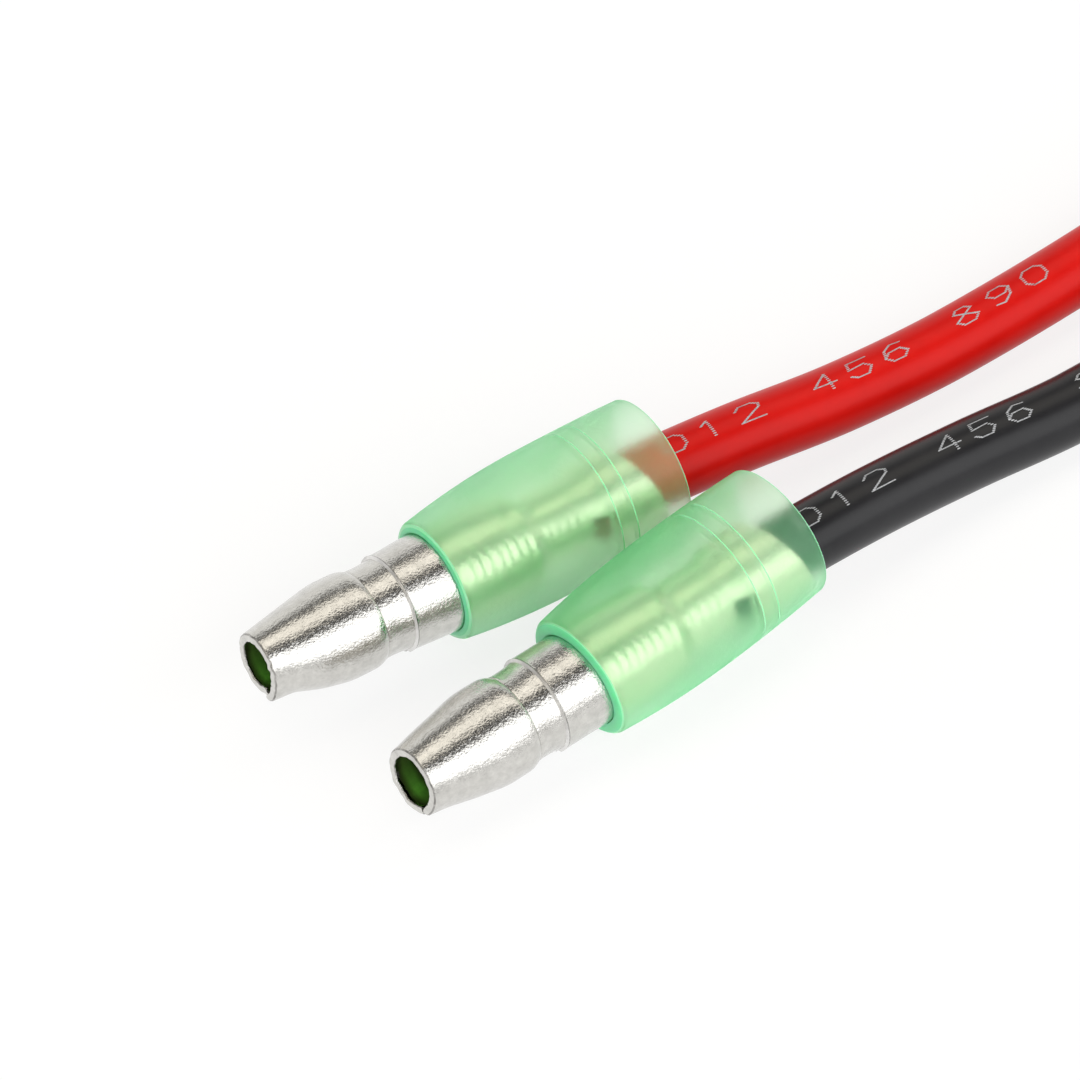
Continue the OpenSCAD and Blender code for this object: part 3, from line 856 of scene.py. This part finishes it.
def terminal_sheet(side):
    """Rolled terminal, with faces that join its outside to its inside at both ends."""
    shape = terminal_shape[side]
    rings = [sheet_ring(x, shape) for x in stations + steps(tail_x - 0.05, shape["wing_end"], 4)]
    points, polygons = skin(rings)
    half = sheet_sides + 1
    last = (len(rings) - 1) * 2 * half
    for k in range(sheet_sides):
        polygons.append((k + 1, k, 2 * half - 1 - k, 2 * half - 2 - k))
        polygons.append((last + k, last + k + 1, last + 2 * half - 2 - k, last + 2 * half - 1 - k))
    bullet = new_piece(side + "_bullet", points, polygons, tin,
                       lie=lying(faces[side], *terminal_lie[side], 180 + seam_turn), sharp=24,
                       hides=[side + "_terminal"])
    # The bore gets painted green light, with painted shade by depth and across it.
    refinish(bullet, bore_painted_green_light, throat_x, mouth_x - rim_r, -1)
    # The part under the sleeve gets paler tin, which is painted light.
    refinish(bullet, tin_painted_bright, shape["wing_end"] - shape["wing_slant"], pressed_x, 1)
    # Duller tin on the rim's cut edge, and painted shade on the ridge ring behind the shoulder.
    refinish_rings(bullet, sheared_edge_and_shade, [*rim_rings, ridge_ring], 2 * half)
    # A painted highlight on the ridge's shoulder.
    refinish_rings(bullet, ridge_painted_highlight, [ridge_ring - 1], 2 * half)


for side in SIDES:
    terminal_sheet(side)

# %% [markdown]
# ## Cores
# Under the jacket a lead is a bundle of fine copper wires. A plain rod would do inside the crimp, but
# a short bundle shows in the bridge between the two crimps, so it is made of seven twisted wires.

# %% Twisted cores
copper = new_finish(
    "copper_core", light=(0.9, 0.52, 0.32), dark=(0.7, 0.38, 0.22), rough=(0.25, 0.4), tone_size=900,
    grain=9000, ripple=2500, share=0.8, bump=0.2, depth=0.02, Metallic=1.0,
)
core_r, core_ahead, core_twist = 0.9, 0.5, 0.5
wire_r, wire_sides = core_r / 3.02, 10


def twisted_core(side):
    """Seven wires, six of them twisted about the one in the middle."""
    points, polygons = [], []
    for w in range(7):
        rings = []
        for x in steps(jacket_x + jacket_gap, crimp_x + core_ahead, 24):
            turn = w * math.pi / 3 + x * core_twist
            off = 2 * wire_r if w else 0.0
            cy, cz = off * math.cos(turn), off * math.sin(turn)
            rings.append([
                (x, cy + wire_r * math.cos(a), cz + wire_r * math.sin(a)) for a in angles(wire_sides)
            ])
        wire_points, wire_faces = skin(rings, cap_ends=True)
        polygons += [tuple(i + len(points) for i in f) for f in wire_faces]
        points += wire_points
    new_piece(side + "_strands", points, polygons, copper,
              lie=lying(faces[side], *terminal_lie[side]), sharp=50, hides=[side + "_core"])


for side in SIDES:
    twisted_core(side)

# %% [markdown]
# ## Sleeves
# The sleeve is a soft moulded tube: a rounded front edge, a slightly barrelled outside, and inside a
# lip, a hollow and a sloping step out to the thin skirt at the rear. Light goes through the wall, so
# the inside has to be as true as the outside, and both are one closed lathe form. A tinted surface
# would look the same at any thickness. So the wall is frosted and almost clear, its green sits in its
# depth as absorption, and a sheen gives it a milky veil. The lip, the rims and the two step lines are
# solid rings of mint with painted light: the lip has a painted glow in deeper aqua, and the rims and
# step lines are painted highlights in paler mint.

# %% Finishes of the sleeves
mint = new_finish(
    "mint_sleeve", light=(0.972, 1.0, 0.915), dark=(0.945, 0.998, 0.875), rough=(0.3, 0.37), tone_size=300,
    grain=6000, ripple=1800, share=0.5, bump=0.3, depth=0.03, IOR=1.3, Transmission_Weight=1.0,
    Sheen_Weight=0.62, Sheen_Roughness=0.76, Sheen_Tint=(0.27, 1.0, 0.48, 1),
)
tree = mint.node_tree
green = add_node(tree, "ShaderNodeVolumeAbsorption", Color=(0.385, 0.985, 0.475, 1), Density=160.0)
wire(tree, green.outputs["Volume"], tree.nodes["Material Output"].inputs["Volume"])
glow = {"Subsurface_Weight": 1.0, "Subsurface_Radius": (0.6, 1.0, 0.7)}
# Paler mint for painted highlights on the front and rear rims and the two step lines.
mint_painted_highlight = new_finish(
    "mint_painted_highlight", light=(0.42, 0.92, 0.56), dark=(0.3, 0.82, 0.45), rough=(0.3, 0.4), tone_size=300,
    grain=6000, ripple=1800, share=0.8, bump=0.05, depth=0.03, Subsurface_Scale=0.0003, **glow,
)
# Deeper aqua for a painted glow on the lip and front face.
mint_painted_glow = new_finish(
    "mint_painted_glow", light=(0.19, 0.82, 0.41), dark=(0.14, 0.72, 0.33), rough=(0.3, 0.4), tone_size=600,
    grain=6000, ripple=1800, share=0.8, bump=0.05, depth=0.03, Subsurface_Scale=0.0004, **glow,
)
print("finishes", [finish.name for finish in (mint, mint_painted_highlight, mint_painted_glow)])

# %% Outline of the sleeves
sleeve_l, wide_at, wide_r, rear_r = 10.2, 5.4, 2.923, 2.793
front_r = {"red": 2.46, "black": 2.55}
lip_r, hollow_r, skirt_r, lip_end, step_at, step_l = 2.15, 2.373, 2.593, 2.6, 6.9, 0.75
front_round, lip_edge, rear_edge, skirt_edge = 0.32, 0.03, 0.06, 0.04
ridge_high, ridge_wide, ridge_steps, line_wide = 0.07, 0.16, 6, 0.05


def crown(side, s):
    """Outside radius of a sleeve at a distance behind its front edge."""
    if s < wide_at:
        return wide_r - (wide_r - front_r[side]) * ((wide_at - s) / wide_at) ** 2
    return wide_r - (wide_r - rear_r) * ((s - wide_at) / (sleeve_l - wide_at)) ** 2


def ridge(radius, s):
    """Rounded ridge on the inside of the sleeve, as outline points from rear to front."""
    return [
        (radius - ridge_high * math.sin(math.pi * i / ridge_steps),
         -s - ridge_wide * (0.5 - i / ridge_steps))
        for i in range(ridge_steps + 1)
    ]


def sleeve_outline(side):
    """Closed outline of [radius, x] points, outside first, then back along the inside."""
    round_r = crown(side, front_round)
    outline = [(lip_r + lip_edge, 0.0)]
    for a in steps(0, math.pi / 2, 8):
        outline.append((round_r - front_round * (1 - math.sin(a)), -front_round * (1 - math.cos(a))))
    # Stations that bound the painted highlight lines on the outside.
    lines = [s + edge for s in (step_at, step_at + step_l) for edge in (-line_wide / 2, line_wide / 2)]
    outside = steps(front_round, sleeve_l - rear_edge, 40)[1:]
    outline += [(crown(side, s), -s) for s in sorted(outside + lines)]
    rear = crown(side, sleeve_l)
    outline += [(rear - rear_edge / 3, -sleeve_l + rear_edge / 3), (rear - rear_edge, -sleeve_l)]
    outline += [(skirt_r + skirt_edge, -sleeve_l), (skirt_r, -sleeve_l + skirt_edge)]
    outline += [(skirt_r, -s) for s in steps(sleeve_l - 0.3, step_at + step_l + 0.2, 8)]
    outline += ridge(skirt_r, step_at + step_l)
    outline += ridge(hollow_r, step_at)
    outline += [(hollow_r, -s) for s in steps(step_at - 0.2, lip_end + 0.1, 18)]
    lip = steps(lip_end, lip_edge, 20)
    outline += [(lip_r + (hollow_r - lip_r) * eased(s / lip_end), -s) for s in lip]
    return outline


print("outline points", {side: len(sleeve_outline(side)) for side in SIDES})

# %% Sleeves that hug their barrels
sleeve_sides, sleeve_wobble, hug_gap = 128, 0.02, 0.02
sleeve_seed = {"red": 2.0, "black": 7.0}


def hug_barrel(side, rings, outline):
    """Moves the inside of the front lip so that it lies close round the terminal's barrel."""
    to_terminal = lying(faces[side], *terminal_lie[side]).inverted()
    to_terminal = to_terminal @ lying(faces[side], *sleeve_lie[side])
    held_r = barrel_r + terminal_shape[side]["swell"] + hug_gap
    for ring, (radius, x) in zip(rings, outline):
        if radius < hollow_r and x > -lip_end:
            for k, p in enumerate(ring):
                held = to_terminal @ Vector(p)
                hug = (held_r + radius - lip_r) / math.hypot(held.y, held.z)
                hugged = to_terminal.inverted() @ Vector((held.x, held.y * hug, held.z * hug))
                ring[k] = hugged.lerp(Vector(p), eased(-x / lip_end))


def sleeve_form(side):
    """Sleeve that is a little out of round, with painted light in solid mint on its lip, rims and step
    lines.
    """
    outline = sleeve_outline(side)
    rings = lathe(outline, sleeve_sides, wobble=sleeve_wobble, seed=sleeve_seed[side])
    hug_barrel(side, rings, outline)
    points, polygons = skin_loop(rings)
    sleeve = new_piece(side + "_sleeve_form", points, polygons, mint,
                       lie=lying(faces[side], *sleeve_lie[side]), sharp=40, hides=[side + "_sleeve"])
    lip_rings = [*range(4), *range(len(rings) - 3, len(rings))]
    # Painted glow in deeper aqua on the front face and the lip.
    refinish_rings(sleeve, mint_painted_glow, lip_rings, sleeve_sides)
    # Painted highlights in paler mint on the front rim, the rear rim and the two step lines.
    refinish_rings(sleeve, mint_painted_highlight, [4], sleeve_sides)
    refinish(sleeve, mint_painted_highlight, -sleeve_l - rear_edge, -sleeve_l + rear_edge, 1)
    for s in (step_at, step_at + step_l):
        refinish(sleeve, mint_painted_highlight, -s - line_wide / 2, -s + line_wide / 2, 1)


for side in SIDES:
    sleeve_form(side)

# %% [markdown]
# ## Solder and shrink tubes
# At the socket each bare core is soldered to its tag, and a shrink tube covers the joint. A cylinder
# would look machined, so the solder is a lathe form with a full middle and a wobble. The tube hugs
# the lead at one end and the tag at the other, with a slightly rolled edge at both ends.

# %% Solder blobs
solder = new_finish(
    "solder", light=(0.72, 0.72, 0.73), dark=(0.55, 0.55, 0.56), rough=(0.25, 0.45), tone_size=900,
    grain=5000, ripple=1500, share=0.8, bump=0.3, depth=0.03, Metallic=1.0,
)
blob_from, blob_to, blob_steps, blob_sides = 14.1, 17.36, 20, 24
blob_end_r, blob_full, blob_power, blob_trim, blob_wobble = 0.35, 0.52, 0.7, 0.08, 0.06


def at_socket(y=0.0):
    """Frame at the socket, with X running from the flange towards the leads."""
    return Matrix.Translation(Vector((socket_place[0], socket_place[1] + y, socket_place[2])) * MM)


def solder_blob(side):
    """Blob with a full middle and thin ends."""
    outline = []
    for i, x in enumerate(steps(blob_from, blob_to, blob_steps)):
        t = blob_trim + (1 - 2 * blob_trim) * (i / blob_steps)
        outline.append((blob_end_r + blob_full * math.sin(math.pi * t) ** blob_power, x))
    rings = lathe(outline, blob_sides, wobble=blob_wobble, seed=joint_y[side])
    points, polygons = skin(rings, cap_ends=True)
    return new_piece(side + "_solder", points, polygons, solder, lie=at_socket(joint_y[side]),
                     sharp=50, hides=[side + "_joint"])


solders = {side: solder_blob(side) for side in SIDES}

# %% Shrink tubes
shrink_black = new_finish(
    "shrink_tube", light=(0.016, 0.016, 0.018), dark=(0.011, 0.011, 0.012), rough=(0.42, 0.55),
    tone_size=500, grain=7000, ripple=1200, share=0.8, bump=0.2, depth=0.03,
)
shrink_from, shrink_to, shrink_wall = 13.7, 22.7, 0.3
shrink_sides, shrink_wobble = 48, 0.03
tag_r, hug_r, hug_ease, bore_inset = 1.55, 1.44, 2.5, 0.5
thin_share, thin_from, thin_l = 0.25, 2, 3
roll_l, roll_front, roll_rear, roll_end = 0.1, 0.7, 0.45, 0.3


def shrink_bore(x):
    """Inside radius of a shrink tube, which narrows from the tag to the lead."""
    return tag_r + (hug_r - tag_r) * eased((x - shrink_from - hug_ease) / hug_ease)


def shrink_outline():
    """Closed outline of a shrink tube, whose wall gets thinner towards the lead."""
    front, rear = shrink_bore(shrink_from), shrink_bore(shrink_to)
    outline = [(front, shrink_from), (front + shrink_wall * roll_front, shrink_from)]
    outline += [(front + shrink_wall, shrink_from + roll_l)]
    for x in steps(shrink_from + roll_end, shrink_to - roll_end, 30):
        thinned = 1 - thin_share * eased((x - shrink_from - thin_from) / thin_l)
        outline.append((shrink_bore(x) + shrink_wall * thinned, x))
    outline += [(rear + shrink_wall * (1 - thin_share), shrink_to - roll_l)]
    outline += [(rear + shrink_wall * roll_rear, shrink_to), (rear, shrink_to)]
    inside = steps(shrink_to - bore_inset, shrink_from + bore_inset, 12)
    return outline + [(shrink_bore(x), x) for x in inside]


def shrink_form(side):
    """Shrunk tube over a solder joint."""
    rings = lathe(shrink_outline(), shrink_sides, wobble=shrink_wobble, seed=joint_y[side] * 2)
    points, polygons = skin_loop(rings)
    return new_piece(side + "_shrink_form", points, polygons, shrink_black,
                     lie=at_socket(joint_y[side]), sharp=40, hides=[side + "_shrink"])


shrinks = {side: shrink_form(side) for side in SIDES}

# %% [markdown]
# ## Charging socket
# The socket's housing is a moulded body with a flange, a threaded barrel and a rear boss. The solid
# has a plain barrel, and a bump would not change its outline. So the housing is made again with a
# real thread: a radius that rises and falls once per turn and per pitch. The slot for the contact
# leaf is cut out afterwards with a Boolean.

# %% Thread of the housing
moulded_black = new_finish(
    "moulded_black", light=(0.026, 0.026, 0.029), dark=(0.018, 0.018, 0.02), rough=(0.42, 0.6),
    tone_size=400, grain=5000, ripple=2000, share=0.5, bump=0.6, depth=0.06,
)
thread_r, thread_l, thread_depth, pitch, housing_edge = 5.5, 10.0, 0.42, 1.0, 0.4
flank_slope, crest_share = 2.6, 0.55
plain_l, fade_in, fade_out = 0.3, 0.8, 0.6


def thread_radius(x, a):
    """Radius of the threaded barrel, which fades to its crest radius at both ends."""
    turn = (x / pitch - a / (2 * math.pi)) % 1.0
    groove = min(1.0, max(0.0, flank_slope * (1 - abs(2 * turn - 1)) - crest_share))
    fade = eased((x - plain_l) / fade_in) * eased((thread_l - plain_l - x) / fade_out)
    end = max(0.0, x - thread_l + housing_edge)
    return thread_r - thread_depth * groove * fade - end


print("thread from", round(thread_r - thread_depth, 2), "to", thread_r, "mm radius")

# %% Rings of the housing
flange_r, flange_t, boss_r, rear_x = 7.0, 2.0, 4.5, 12.5
jack_r, jack_floor, pin_hole_r = 2.9, 8.0, 1.05
ring_r, ring_half, ring_floor, ring_deep = 5.7, 0.2, 0.1, 0.12
small_edge, boss_edge, housing_sides, housing_sharp = 0.1, 0.05, 96, 35


def housing_rings(sides):
    """Rings over the front, the barrel and the rear, then forward along the plug bore."""
    front = [(jack_r + housing_edge, -flange_t)]
    front += [(ring_r - ring_half, -flange_t), (ring_r - ring_floor, -flange_t + ring_deep)]
    front += [(ring_r + ring_floor, -flange_t + ring_deep), (ring_r + ring_half, -flange_t)]
    for b in steps(0, math.pi / 2, 5):
        rim = flange_r - housing_edge * (1 - math.sin(b))
        front.append((rim, -flange_t + housing_edge * (1 - math.cos(b))))
    front += [(flange_r, -small_edge), (flange_r - small_edge, 0.0), (thread_r + small_edge, 0.0)]
    rings = lathe(front, sides)
    for x in steps(0.0, thread_l, 150):
        rings.append(ring_about_x(x, [thread_radius(x, a) for a in angles(sides)]))
    rear = [(boss_r + boss_edge, thread_l), (boss_r, thread_l + boss_edge)]
    rear += [(boss_r, rear_x - housing_edge), (boss_r - housing_edge, rear_x), (pin_hole_r, rear_x)]
    rear += [(pin_hole_r, jack_floor), (jack_r, jack_floor)]
    rear += [(jack_r, x) for x in steps(jack_floor - 0.5, -flange_t + housing_edge, 10)]
    return rings + lathe(rear, sides)


points, polygons = skin_loop(housing_rings(housing_sides))
housing = new_piece("threaded_housing", points, polygons, moulded_black, lie=at_socket(),
                    sharp=housing_sharp, hides=["socket_housing"])

# %% Slot for the contact leaf
leaf_slot = ((0.9, 0.0, -0.95), (8.0, 3.6, 0.95))
tail_slot = ((7.0, 3.2, -0.95), (13.5, 3.6, 0.95))


def cut_box(low, high):
    """Box used as a cutter, in the socket's frame. It is removed after the cut."""
    corners = [(x, y, z) for x in (low[0], high[0]) for y in (low[1], high[1]) for z in (low[2], high[2])]
    sides = [(0, 1, 3, 2), (4, 6, 7, 5), (0, 4, 5, 1), (2, 3, 7, 6), (0, 2, 6, 4), (1, 5, 7, 3)]
    mesh = bpy.data.meshes.new("cutter")
    mesh.from_pydata([Vector(p) * MM for p in corners], [], sides)
    cutter = bpy.data.objects.new("cutter", mesh)
    scene.collection.objects.link(cutter)
    cutter.matrix_world = at_socket()
    return cutter


def cut_out(piece, cutter):
    """Cuts the cutter's shape out of a piece for good."""
    cut = piece.modifiers.new("cut", "BOOLEAN")
    cut.operation = "DIFFERENCE"
    cut.solver = "EXACT"
    cut.object = cutter
    bpy.context.view_layer.update()
    result = bpy.data.meshes.new_from_object(piece.evaluated_get(bpy.context.evaluated_depsgraph_get()))
    piece.modifiers.clear()
    piece.data = result
    bpy.data.objects.remove(cutter)


for low, high in (leaf_slot, tail_slot):
    cut_out(housing, cut_box(low, high))
housing.data.set_sharp_from_angle(angle=math.radians(housing_sharp))
print("housing", len(housing.data.vertices), "points after its cuts")

# %% [markdown]
# ## The socket's metal pieces
# The pin, its tag, the spring contact and the nut are nickel plated, and the lock washer is zinc
# plated spring steel. Their solids already have the true shape, so they keep their meshes and only
# get a finish.

# %% Finishes of the metal pieces
nickel = new_finish(
    "nickel_plate", light=(0.82, 0.81, 0.78), dark=(0.74, 0.73, 0.69), rough=(0.16, 0.28), tone_size=500,
    grain=9000, ripple=1800, share=0.5, bump=0.12, depth=0.02, Metallic=1.0,
)
zinc = new_finish(
    "spring_steel", light=(0.66, 0.67, 0.7), dark=(0.5, 0.51, 0.54), rough=(0.28, 0.42), tone_size=600,
    grain=9000, ripple=1800, share=0.8, bump=0.2, depth=0.02, Metallic=1.0,
)
metal_finishes = {
    "centre_pin": nickel,
    "pin_tag": nickel,
    "spring_contact": nickel,
    "panel_nut": nickel,
    "lock_washer": zinc,
}
for name, finish in metal_finishes.items():
    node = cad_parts[name]
    node.data.materials.clear()
    node.data.materials.append(finish)
print("dressed nodes", sorted(metal_finishes))

# %% [markdown]

# %% [markdown]
# ## Studio
# The floor is a white sheet. The light is soft and comes from long panels beside and above the
# object, with darker gaps between them: the gaps are what draws dark streaks along the bright metal.
# Area lamps could be the panels, but their light would change along the leads. So the panels are
# bands of the world's colour by the angle round the X axis, which gives the same light at any
# distance.

# %% Floor
floor_half, floor_drop = 4.0, 0.02 * MM
floor_mesh = bpy.data.meshes.new("floor")
floor_mesh.from_pydata(
    [(-floor_half, -floor_half, 0), (floor_half, -floor_half, 0), (floor_half, floor_half, 0),
     (-floor_half, floor_half, 0)],
    [], [(0, 1, 2, 3)],
)
floor = bpy.data.objects.new("floor", floor_mesh)
floor.location.z = -floor_drop
scene.collection.objects.link(floor)
print("floor", 2 * floor_half, "m wide")

# %% White sheet on the floor
sheet = bpy.data.materials.new("white_sheet")
sheet.use_nodes = True
tree = sheet.node_tree
shader = tree.nodes["Principled BSDF"]
set_inputs(shader, {"Roughness": 0.9, "Specular_IOR_Level": 0.0, "Emission_Color": (1, 1, 1, 1)})
seen = tree.nodes.new("ShaderNodeLightPath")
direct = math_node(tree, "MAXIMUM", seen.outputs["Is Camera Ray"], seen.outputs["Is Glossy Ray"])
direct = math_node(tree, "MAXIMUM", direct, seen.outputs["Is Transmission Ray"])
glow_level, paper_lit, paper_seen = 0.8, (0.8, 0.8, 0.8, 1), (0.22, 0.22, 0.22, 1)
wire(tree, math_node(tree, "MULTIPLY", direct, glow_level), shader.inputs["Emission Strength"])
paper = tree.nodes.new("ShaderNodeMix")
paper.data_type = "RGBA"
wire(tree, direct, paper.inputs["Factor"])
paper.inputs["A"].default_value = paper_lit
paper.inputs["B"].default_value = paper_seen
wire(tree, paper.outputs["Result"], shader.inputs["Base Color"])
floor_mesh.materials.append(sheet)
print("floor finish", sheet.name)

# %% World
world = bpy.data.worlds.new("studio")
scene.world = world
world.use_nodes = True
tree = world.node_tree
where = tree.nodes.new("ShaderNodeTexCoord")
parts = tree.nodes.new("ShaderNodeSeparateXYZ")
wire(tree, where.outputs["Generated"], parts.inputs["Vector"])
angle = math_node(tree, "ARCTAN2", parts.outputs["Z"], parts.outputs["Y"])
panels = tree.nodes.new("ShaderNodeValToRGB")
wire(tree, math_node(tree, "DIVIDE", angle, math.pi), panels.inputs["Fac"])
bands = [
    (0, 5.5, (0.1, 0.095, 0.09)),
    (7, 55, (2.1, 2.1, 2.1)),
    (60, 83, (0.1, 0.097, 0.093)),
    (88, 118, (1.4, 1.33, 1.2)),
    (123, 141, (0.12, 0.116, 0.11)),
    (146, 180, (0.95, 0.94, 0.91)),
]
fill_ramp(panels.color_ramp, [(at / 180, colour) for start, end, colour in bands for at in (start, end)])
wire(tree, panels.outputs["Color"], tree.nodes["Background"].inputs["Color"])
print("world bands", len(bands))
